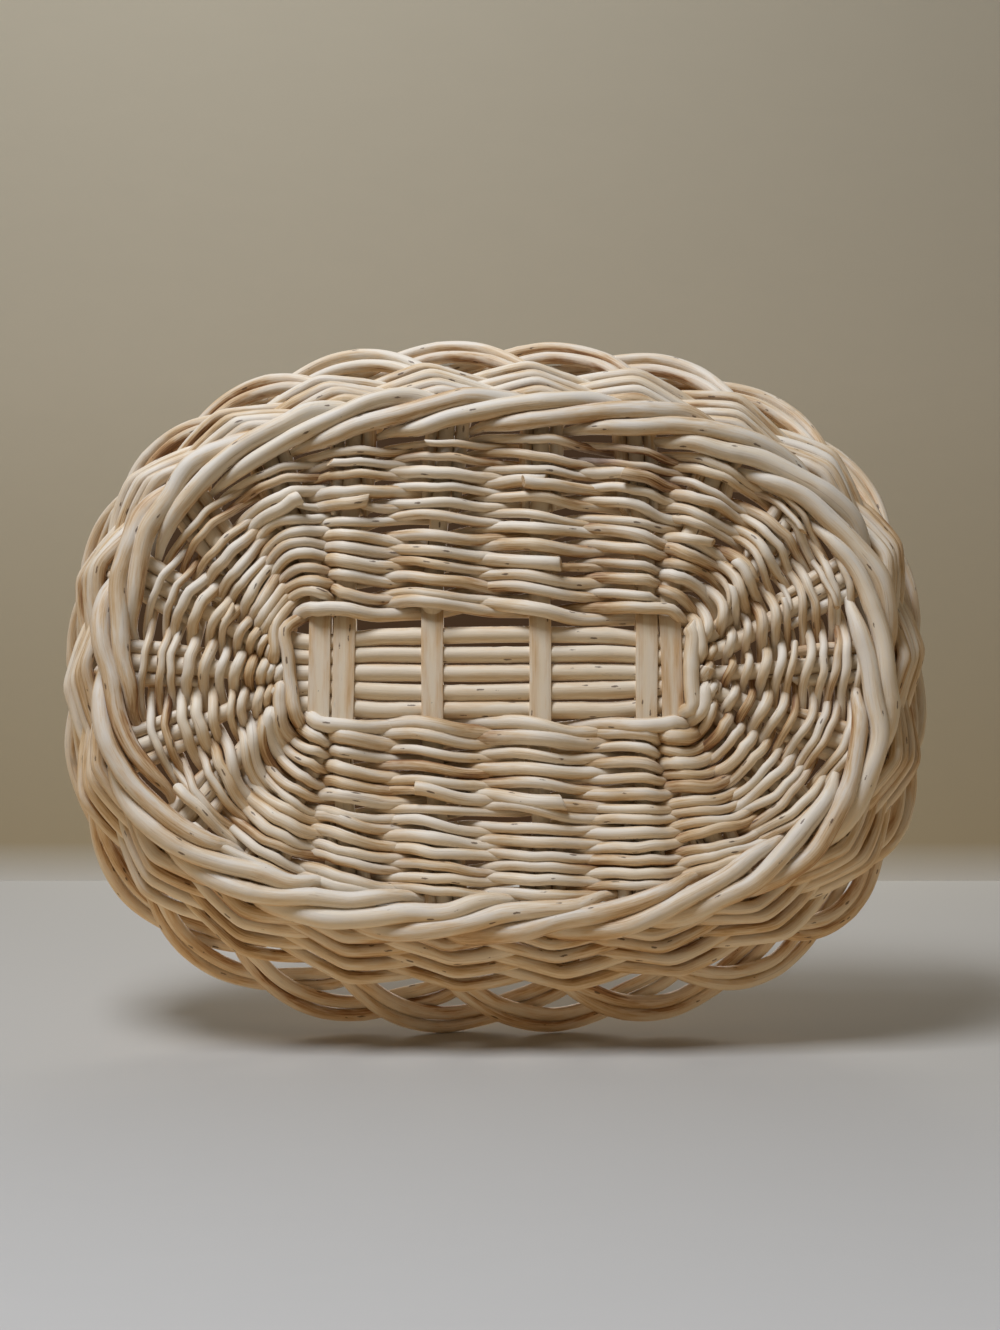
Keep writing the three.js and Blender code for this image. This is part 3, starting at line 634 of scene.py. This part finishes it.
# Where the two strands hold a spoke, or several as one: the start and end of the stretch along the line
# on which a strand lies level, and how far the strands are from the middle of the spoke there.
LEVEL_PAST_GROUP = 0.8
TIE_RADIUS = 2.5  # of the weavers that tie the slath
ROW_RADII = ((0.0, 0.4, 0.9), (2.4, 2.2, 2.05))  # shares, and the weavers' radii there
STAKES_BESIDE = 0.56  # the share from which a strand lies over a spoke and its two stakes
LEVEL_ALONE, LEVEL_WITH_STAKES = 0.3, 3.4  # half the level stretch, where there is room
MOST_LEVEL = 0.12  # of the way from spoke to spoke
holds = []
for row, groups in enumerate(GROUPED_ROWS):
    for first, last in groups:
        begin, end = (walked_at(row * SPOKES + spoke) for spoke in (first, last))
        reach = fan_radius[first % SPOKES] + TIE_RADIUS
        holds.append((begin - LEVEL_PAST_GROUP, end + LEVEL_PAST_GROUP, reach))
for turn in range(len(GROUPED_ROWS) * SPOKES - 2, round(BASE_ROWS * SPOKES) - 2):
    share = row_share(turn)
    space = (walked_at(turn + 1) - walked_at(turn - 1)) / 2
    half = min(LEVEL_WITH_STAKES if share > STAKES_BESIDE else LEVEL_ALONE, MOST_LEVEL * space)
    reach = spoke_radius(turn, share) + np.interp(share, *ROW_RADII) + 0.1
    holds.append((walked_at(turn) - half, walked_at(turn) + half, reach))
holds = np.array(holds)
level_ends = holds[:, :2].ravel()
hold_middles = (holds[:, 0] + holds[:, 1]) / 2
hold_spaces = np.gradient(hold_middles)
phase = np.interp(weave_walked, level_ends, np.repeat(math.pi * np.arange(len(holds)), 2))
lift = np.interp(weave_walked, level_ends, np.repeat(holds[:, 2], 2))
spoke_spaces = np.interp(weave_walked, hold_middles, hold_spaces)
# Where the spokes are far apart, a strand runs straighter and turns more sharply over each.
SHARPNESS = ((10, 18, 32), (0.06, 0.12, 0.19))
sharp = np.interp(weave_walked, hold_middles, np.interp(hold_spaces, *SHARPNESS))
wave = (np.cos(phase) + sharp * np.cos(3 * phase)) / (1 + sharp)
row_pitch = FAN_TO_EDGE * (ROW_STEP - 2 * ROW_CLOSING * turns / SPOKES)


def strand_way(sign):
    """The way of one of the two strands. The camera sees the strand that is below a spoke."""
    turned = np.sin(phase)
    side = sign * row_pitch * (0.25 * turned * (1.4 - 0.4 * turned * turned) + 0.09)
    return weave_line - UP * (sign * lift * wave)[:, None] - weave_out * side[:, None]


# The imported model's rounds, and the shares at which they lie.
ROUND_PLACES = {"slath_round_1": -0.109, "slath_round_2": -0.043, "opening_round": 0.1}
for number, place in enumerate(np.linspace(0.26, 0.85, 7), 1):
    ROUND_PLACES[f"base_round_{number}"] = place
ROUND_REACH = 0.06  # the share that a round takes up on each side of its place


def rounds_near(low, high):
    """The rounds that a weaver between these shares stands for."""
    return [name for name, at in ROUND_PLACES.items() if low - ROUND_REACH <= at <= high + ROUND_REACH]


# Each strand is made of weavers, which are joined at these turns. Every other one has both of its ends
# standing out below the weave, and the ends of the one that follows are tucked in.
JOINS = {
    1: (54, 86, 116, 130, 144, 154, 190, 216, 240, 258),
    -1: (22, 45, 83, 115, 129, 153, 169, 193, 219, 235, 251),
}
OVERLAP = (4, 8)  # how far an end that stands out goes past its join
END_RUN = 17  # the length over which an end leaves the weave
TUCKED_IN = -1.4
# The weavers' nominal radii by share, and what is left of them where the spokes are close together.
NOMINAL_RADII = ((-0.14, -0.06, 0.02, 0.4, 0.9), (3.1, 3.0, 2.55, 2.3, 2.12))
THINNER_IN_NARROW_SPACES = ((7, 16), (0.74, 1.0))
THINNER_AT_ENDS = ((-125, -85, 85, 125), (0.88, 1.0, 1.0, 0.78))  # by place along the basket
# A few rows near the edge have stayed brown here: the middle of the spot and its half sizes.
TANNED_SPOT, TANNED_HALF_SIZES = (48, -85), (35, 7)
weaver_number = 0
for sign in (1, -1):
    way = strand_way(sign)
    joins = [weave_walked[0], *(walked_at(turn) for turn in JOINS[sign]), weave_walked[-1]]
    for place, (start, end) in enumerate(zip(joins, joins[1:])):
        weaver_number += 1
        is_first, is_last = start == joins[0], end == joins[-1]
        stands = place % 2 == 0
        butt_first = place % 4 < 2
        low = start - (dice.uniform(*OVERLAP) if stands and not is_first else 0)
        high = end + (dice.uniform(*OVERLAP) if stands and not is_last else 0)
        walked = np.linspace(low, high, int((high - low) / 2.2) + 1)
        rod_way = np.stack([np.interp(walked, weave_walked, side) for side in way.T], -1)
        out = np.stack([np.interp(walked, weave_walked, side) for side in weave_out.T], -1)
        start_out = 0 * walked if is_first else np.clip((low + END_RUN - walked) / END_RUN, 0, 1) ** 2
        end_out = 0 * walked if is_last else np.clip((walked - high + END_RUN) / END_RUN, 0, 1) ** 2
        rod_way += out * (dice.uniform(-1.5, 1.0) * start_out + dice.uniform(-0.6, 2.4) * end_out)[:, None]
        rod_way -= UP * ((dice.uniform(1.8, 4.0) if stands else TUCKED_IN) * (start_out + end_out))[:, None]
        rod_way = wandering(rod_way, walked, sideways=0.55, upwards=0.35, wave=40)
        share = np.interp(walked, weave_walked, weave_share)
        radii = np.interp(share, *NOMINAL_RADII)
        radii = radii * np.interp(np.interp(walked, weave_walked, spoke_spaces), *THINNER_IN_NARROW_SPACES)
        ends = np.array([dice.uniform(1.04, 1.2), dice.uniform(0.72, 0.86)]) * dice.uniform(0.88, 1.13)
        radii = radii * tapered(walked, *(ends if butt_first else ends[::-1]))
        butt_end, tip_end = (start_out, end_out) if butt_first else (end_out, start_out)
        radii = radii * (1 + 0.04 * butt_end - (0.15 if stands else 0.5) * tip_end)
        radii = radii * np.interp(rod_way[:, 0], *THINNER_AT_ENDS)
        slants = (dice.uniform(0.1, 0.8), dice.uniform(0.6, 1.5))
        # Painted shade: a strand gets a darker tan tone where it sinks into the weave between spokes, and
        # the palest tone where it lies over or under one.
        dive = np.interp(walked, weave_walked, sign * wave)
        tanned = np.exp(-np.sum(((rod_way[:, :2] - TANNED_SPOT) / TANNED_HALF_SIZES) ** 2, -1))
        tones = dice.uniform(0.05, 0.75) - 0.35 * np.abs(dive) + 0.6 * tanned
        weaver = Bundle()
        weaver.rod(rod_way, walked, radii, tones, slants=slants if butt_first else slants[::-1])
        make_piece(f"willow_weaver_{weaver_number:02d}", weaver, weaver_willow,
                   rounds_near(share[0], share[-1]))

# The foot. Each rod comes out from behind a pair of stakes, crosses below the next two from the outer
# side to the inner, and goes in again behind the one after those. Its way, point by point: the spokes
# that it has passed, how far out from the foot's oval it is, and its height.
FOOT_WAY = np.array((
    (-1.2, 1.0, 17.0), (-0.9, 5.8, 13.0), (-0.55, 7.5, 8.2), (-0.2, 6.1, 4.7), (0.2, 3.3, 3.9),
    (0.6, 0.4, 3.8), (1.0, -2.5, 3.9), (1.35, -4.7, 4.7), (1.62, -5.8, 8.0), (1.85, -5.7, 11.8),
    (2.15, -4.7, 14.6),
))
FOOT_TIP_RUN = 38  # the length over which a rod of the foot ends in a point
for number in range(SPOKES):
    place = number - FOOT_WAY[:, 0]
    along = unit(FOOT_OVAL.at(place + 0.05) - FOOT_OVAL.at(place - 0.05))
    far_out = FOOT_WAY[:, 1] + dice.normal(0, 0.7, len(place))
    flat = FOOT_OVAL.at(place) + np.stack([along[:, 1], -along[:, 0]], -1) * far_out[:, None]
    way, walked = smooth_way(np.concatenate([flat, FOOT_WAY[:, 2:]], -1), spacing=2.6)
    radii = tapered(walked, dice.uniform(4.2, 4.75), dice.uniform(3.0, 3.5))
    radii *= 1 - 0.78 * eased(walked, walked[-1] - FOOT_TIP_RUN, walked[-1] - 1)
    # Where it is lowest, a rod rests on the ground.
    way[:, 2] = np.maximum(way[:, 2], radii * 1.06)
    foot = Bundle()
    foot.rod(way, walked, radii, dice.uniform(-0.2, 0.4), sides=16, slants=(0.3, 0.9))
    make_piece(f"willow_foot_rod_{number + 1:02d}", foot, foot_willow, ["foot_wale"])

# The four rounds of the side. Each strand passes outside one pair of stakes and inside the next.
SIDE_ROUND_HEIGHTS = (16.2, 22.4, 28.7, 35.0)
SIDE_WEAVER = 5.6
SIDE_RODS = 3  # that make up a strand, one after the other
SIDE_STEPS = 24  # from pair to pair
SIDE_OVERLAP = 0.3  # of two such rods, at each end, in spaces between pairs
SIDE_REACH = STAKE / 2 + SIDE_WEAVER / 2 + 0.8
SIDE_STRANDS_APART = 1.75  # half of it, where they cross
for number, height in enumerate(SIDE_ROUND_HEIGHTS, 1):
    for strand, sign in (("outer", 1), ("inner", -1)):
        first_pair = dice.integers(0, SPOKES // 2) * 2 + (1 if sign > 0 else 0)
        joins = [first_pair + round(i * SPOKES / SIDE_RODS / 2) * 2 for i in range(SIDE_RODS + 1)]
        side = Bundle()
        for begin, end in zip(joins, joins[1:]):
            begin, end = begin - SIDE_OVERLAP, end + SIDE_OVERLAP
            pair = np.arange(begin * SIDE_STEPS, end * SIDE_STEPS) / SIDE_STEPS
            beat = math.pi * pair
            bend = np.arcsin(np.cos(beat)) / (math.pi / 2)
            place = leaning_place(pair, height)
            up, out = wall_directions(place, height)
            bent = out * (sign * SIDE_REACH * bend)[:, None]
            bent -= up * (sign * SIDE_STRANDS_APART * np.sin(beat))[:, None]
            way, walked = even_steps(wall_point(place, height) + bent, spacing=2.2)
            # This rounds off the turns at the pairs.
            way[1:-1] = way[:-2] / 4 + way[1:-1] / 2 + way[2:] / 4
            way = wandering(way, walked, sideways=0.3, upwards=0.35, wave=60)
            radii = SIDE_WEAVER / 2 * tapered(walked, 1.1, 0.84)
            side.rod(way, walked, radii, dice.uniform(-0.05, 0.45))
        make_piece(f"willow_side_round_{number}_{strand}", side, weaver_willow,
                   [f"side_round_{number}"])

# The stakes. Two go in beside each stick, join on the wall and fold down side by side into the border.
STAKE_SHARES = (0.52, 0.66, 0.8, 0.94, 1.0)
STAKE_HEIGHTS = (14.5, 21.0, 28.0, 35.0)
# Their way from the last round of the side on: how far past their own place, in spaces between pairs,
# how high, as a share of the arch, and how far out from the wall, as a share of the tuck's depth.
BORDER_WAY = (
    (0, 0.13, 0.1), (0.2, 0.43, 0.6), (0.5, 0.76, 0.75), (0.85, 0.96, 0.45),
    (1.2, 1, -0.35), (1.5, 0.92, -1.1), (1.8, 0.7, -1.2), (2.05, 0.42, -1.2),
)
PAIR_LIES_FLAT = 0.6  # how far the two stakes turn from side by side to one above the other, in the arch
FLAT_BETWEEN = (LAST_SIDE_ROUND + 4, LAST_SIDE_ROUND + 18)
BESIDE_STICK = STICK_END / 2 + STAKE / 2 + 0.3
STAKE_CUTS = (14, 10)  # how long the cuts at its lower and upper end are
wall_way = [(height, 0, 0) for height in STAKE_HEIGHTS]
wall_way += [
    (LAST_SIDE_ROUND + rise * ARCH_HEIGHT, past, out * TUCK_DEPTH) for past, rise, out in BORDER_WAY]
for pair in range(SPOKES):
    controls = [on_spoke(pair, share) for share in STAKE_SHARES]
    outs = [-UP] * len(STAKE_SHARES)
    for height, past, out in wall_way:
        place = leaning_place(pair, min(height, LAST_SIDE_ROUND)) - past
        wall_out = wall_directions(place, height)[1]
        controls.append(wall_point(place, height) + wall_out * out)
        outs.append(unit(mixed(wall_out, -UP, PAIR_LIES_FLAT * eased(height, *FLAT_BETWEEN))))
    apart = [BESIDE_STICK] * 4 + [BESIDE_STICK * 0.92, STAKE / 2 * 1.15] + [STAKE / 2] * (len(wall_way) - 1)
    controls, outs = np.array(controls), np.array(outs)
    directions = unit(np.gradient(controls, axis=0))
    sideways = unit(np.cross(outs, directions))
    stakes = Bundle()
    for side in (1, -1):
        rod_controls = controls + sideways * (side * np.array(apart))[:, None]
        rod_controls += dice.normal(0, 0.25, rod_controls.shape)
        way, walked = smooth_way(rod_controls, spacing=2.4)
        radii = STAKE / 2 * tapered(walked, dice.uniform(1.08, 1.14), dice.uniform(0.9, 1.0))
        # Both ends are cut thinner, the lower one over a longer stretch.
        lower_cut = 1 - eased(walked, 0, STAKE_CUTS[0])
        upper_cut = eased(walked, walked[-1] - STAKE_CUTS[1], walked[-1])
        radii *= 1 - 0.35 * lower_cut - 0.25 * upper_cut
        stakes.rod(way, walked, radii, dice.uniform(-0.05, 0.5), slants=(1.2, 1.4))
    make_piece(f"willow_stake_pair_{pair + 1:02d}", stakes, stake_willow,
               [f"stake_pair_{pair + 1:02d}"])


def seen_rays(tree):
    """1 for a ray that shows the background, from the camera or by way of a mirroring or clear surface."""
    rays = add(tree, "ShaderNodeLightPath").outputs
    seen = rays["Is Camera Ray"]
    for other in ("Is Glossy Ray", "Is Transmission Ray"):
        seen = add(tree, "ShaderNodeMath", {0: seen, 1: rays[other]}, operation="MAXIMUM").outputs[0]
    return seen


# The stage. The basket stands on its rim for the photograph, so the tabletop of that view is upright
# in the basket's own frame. Another floor lies under the foot for the views from above.
def one_sided(name, code, only_seen, fades=(), bounce_code=None, shade=None):
    """Matt paint with a faint grit, which is there only for whoever is on its front side.

    Where it is only seen, it takes no part in the lighting. A fade has its colour, the axis along
    which it goes, and where it starts and is complete, as shares of the plane.
    """
    material, tree = new_material(name)
    grit = add(tree, "ShaderNodeTexNoise", {"Scale": 40.0, "Detail": 2.0})
    tint = add(tree, "ShaderNodeMapRange", {"Value": grit.outputs["Fac"], "To Min": 0.985, "To Max": 1.015})
    paint = add(tree, "ShaderNodeVectorMath", {
        0: colour(code)[:3], "Scale": tint.outputs[0]}, operation="SCALE").outputs[0]
    texture_place = add(tree, "ShaderNodeTexCoord")
    for fade_code, axis, start, end in fades:
        place = add(tree, "ShaderNodeSeparateXYZ", {0: texture_place.outputs["Generated"]})
        share = add(tree, "ShaderNodeMapRange", {
            "Value": place.outputs[axis], "From Min": start, "From Max": end})
        paint = add(tree, "ShaderNodeMix", {
            0: share.outputs[0], 4: paint, 5: colour(fade_code)[:3]}, data_type="VECTOR").outputs[1]
    if shade:
        # A painted shadow: the basket keeps the light off the wall right behind it.
        shade_code, middle, half_sizes = shade
        stretch = (1 / half_sizes[0] / MM, 1 / half_sizes[1] / MM, 0)
        place = add(tree, "ShaderNodeMapping", {
            "Vector": texture_place.outputs["Object"], "Scale": stretch,
            "Location": [-m * MM * s for m, s in zip(middle, stretch)]})
        away = add(tree, "ShaderNodeVectorMath", {0: place.outputs[0]}, operation="LENGTH")
        shaded = add(tree, "ShaderNodeMapRange", {
            "Value": away.outputs["Value"], "From Min": 0.92, "From Max": 1.0,
            "To Min": 1.0, "To Max": 0.0})
        paint = add(tree, "ShaderNodeMix", {
            0: shaded.outputs[0], 4: paint, 5: colour(shade_code)[:3]}, data_type="VECTOR").outputs[1]
    if bounce_code:
        # The light that comes back from the tabletop is warmer than the tabletop looks.
        paint = add(tree, "ShaderNodeMix", {
            0: seen_rays(tree), 4: colour(bounce_code)[:3], 5: paint}, data_type="VECTOR").outputs[1]
    surface = add(tree, "ShaderNodeBsdfDiffuse", {"Color": paint})
    clear = add(tree, "ShaderNodeBsdfTransparent")
    hidden = add(tree, "ShaderNodeNewGeometry").outputs["Backfacing"]
    if only_seen:
        unseen = add(tree, "ShaderNodeMath", {0: 1.0, 1: seen_rays(tree)}, operation="SUBTRACT")
        hidden = add(tree, "ShaderNodeMath", {
            0: hidden, 1: unseen.outputs[0]}, operation="MAXIMUM").outputs[0]
    either = add(tree, "ShaderNodeMixShader", {0: hidden, 1: surface.outputs[0], 2: clear.outputs[0]})
    add(tree, "ShaderNodeOutputMaterial", {"Surface": either.outputs[0]})
    return material


def stage_plane(name, middle, up, half_width, low, high, material):
    """A plane of the stage, which faces the side from which RIGHT and up turn anticlockwise."""
    corners = [middle + RIGHT * x + up * y for x, y in (
        (-half_width, low), (half_width, low), (half_width, high), (-half_width, high))]
    mesh = bpy.data.meshes.new(name)
    mesh.from_pydata([tuple(corner * MM) for corner in corners], [], [(0, 1, 2, 3)])
    mesh.materials.append(material)
    plane = bpy.data.objects.new(name, mesh)
    bpy.context.scene.collection.objects.link(plane)


# The tabletop touches the basket where its rim is lowest in the photograph. Depths are from the camera.
TABLE_FRONT_DEPTH = 330
WALL_DEPTH = 1149
TABLE_HALF_WIDTH, WALL_HALF_WIDTH, FLOOR_HALF_WIDTH = 700, 900, 3000
WALL_TOP = 900
all_corners = np.concatenate(made_corners)
rim_contact = all_corners[np.argmin(all_corners @ VIEW_UP)] * (0, 1, 1)
contact_depth = (rim_contact - camera_point) @ -TO_CAMERA
wall_middle = camera_point - TO_CAMERA * WALL_DEPTH
behind_basket = wall_middle - RIGHT * 4.2 - VIEW_UP * 10.6
# The tabletop is painted darker from the camera's side towards the wall, as painted shade.
tabletop = one_sided("matt_pale_tabletop", "#c9c8c4", False, [("#b0aea8", "Z", 0.0, 0.33)], "#e2c8a2")
# The wall is painted darker towards its foot, as painted shade, and lighter in a thin band at its very
# foot; behind the basket it gets a painted shadow.
backdrop = one_sided(
    "matt_beige_wall", "#b0a996", True, [("#9c9580", "Y", 0.66, 0.97), ("#bcc2c4", "Y", 0.974, 1.0)],
    shade=("#4d3c2d", behind_basket, (286, 228)))
ground = one_sided("matt_pale_floor", "#cfcec9", True)
stage_plane("photo_tabletop", rim_contact, -TO_CAMERA, TABLE_HALF_WIDTH,
            TABLE_FRONT_DEPTH - contact_depth, WALL_DEPTH - contact_depth, tabletop)
stage_plane("photo_wall", wall_middle, VIEW_UP, WALL_HALF_WIDTH,
            (rim_contact - wall_middle) @ VIEW_UP, WALL_TOP, backdrop)
stage_plane("floor_below_foot", np.zeros(3), np.array([0.0, 1.0, 0.0]), FLOOR_HALF_WIDTH,
            -FLOOR_HALF_WIDTH, FLOOR_HALF_WIDTH, ground)


LAMPS_AIM_AT = Vector((0, 0, 20))


def lamp(name, watts, code, at, size):
    data = bpy.data.lights.new(name, "AREA")
    data.energy = watts
    data.color = colour(code)[:3]
    data.size = size * MM
    made = bpy.data.objects.new(name, data)
    bpy.context.scene.collection.objects.link(made)
    made.location = Vector(at) * MM
    made.rotation_euler = (LAMPS_AIM_AT - Vector(at)).to_track_quat("-Z", "Y").to_euler()


lamp("window_light", 15.1, "#f1f5ff", (-370, -1010, -530), 450)
lamp("upper_light", 8.0, "#fffaf2", (60, -500, 1100), 700)

# The room lights the basket softly from all around. What is seen of it past the stage is plain.
world = bpy.data.worlds.new("soft_studio")
world.use_nodes = True
world.node_tree.nodes.clear()
sky = add(world.node_tree, "ShaderNodeBackground", {"Color": colour("#f5e3c8"), "Strength": 0.138})
seen_sky = add(world.node_tree, "ShaderNodeBackground", {"Color": colour("#b5afa0"), "Strength": 1.0})
either_sky = add(world.node_tree, "ShaderNodeMixShader", {
    0: seen_rays(world.node_tree), 1: sky.outputs[0], 2: seen_sky.outputs[0]})
add(world.node_tree, "ShaderNodeOutputWorld", {"Surface": either_sky.outputs[0]})
bpy.context.scene.world = world
bpy.context.scene.view_settings.view_transform = "Standard"
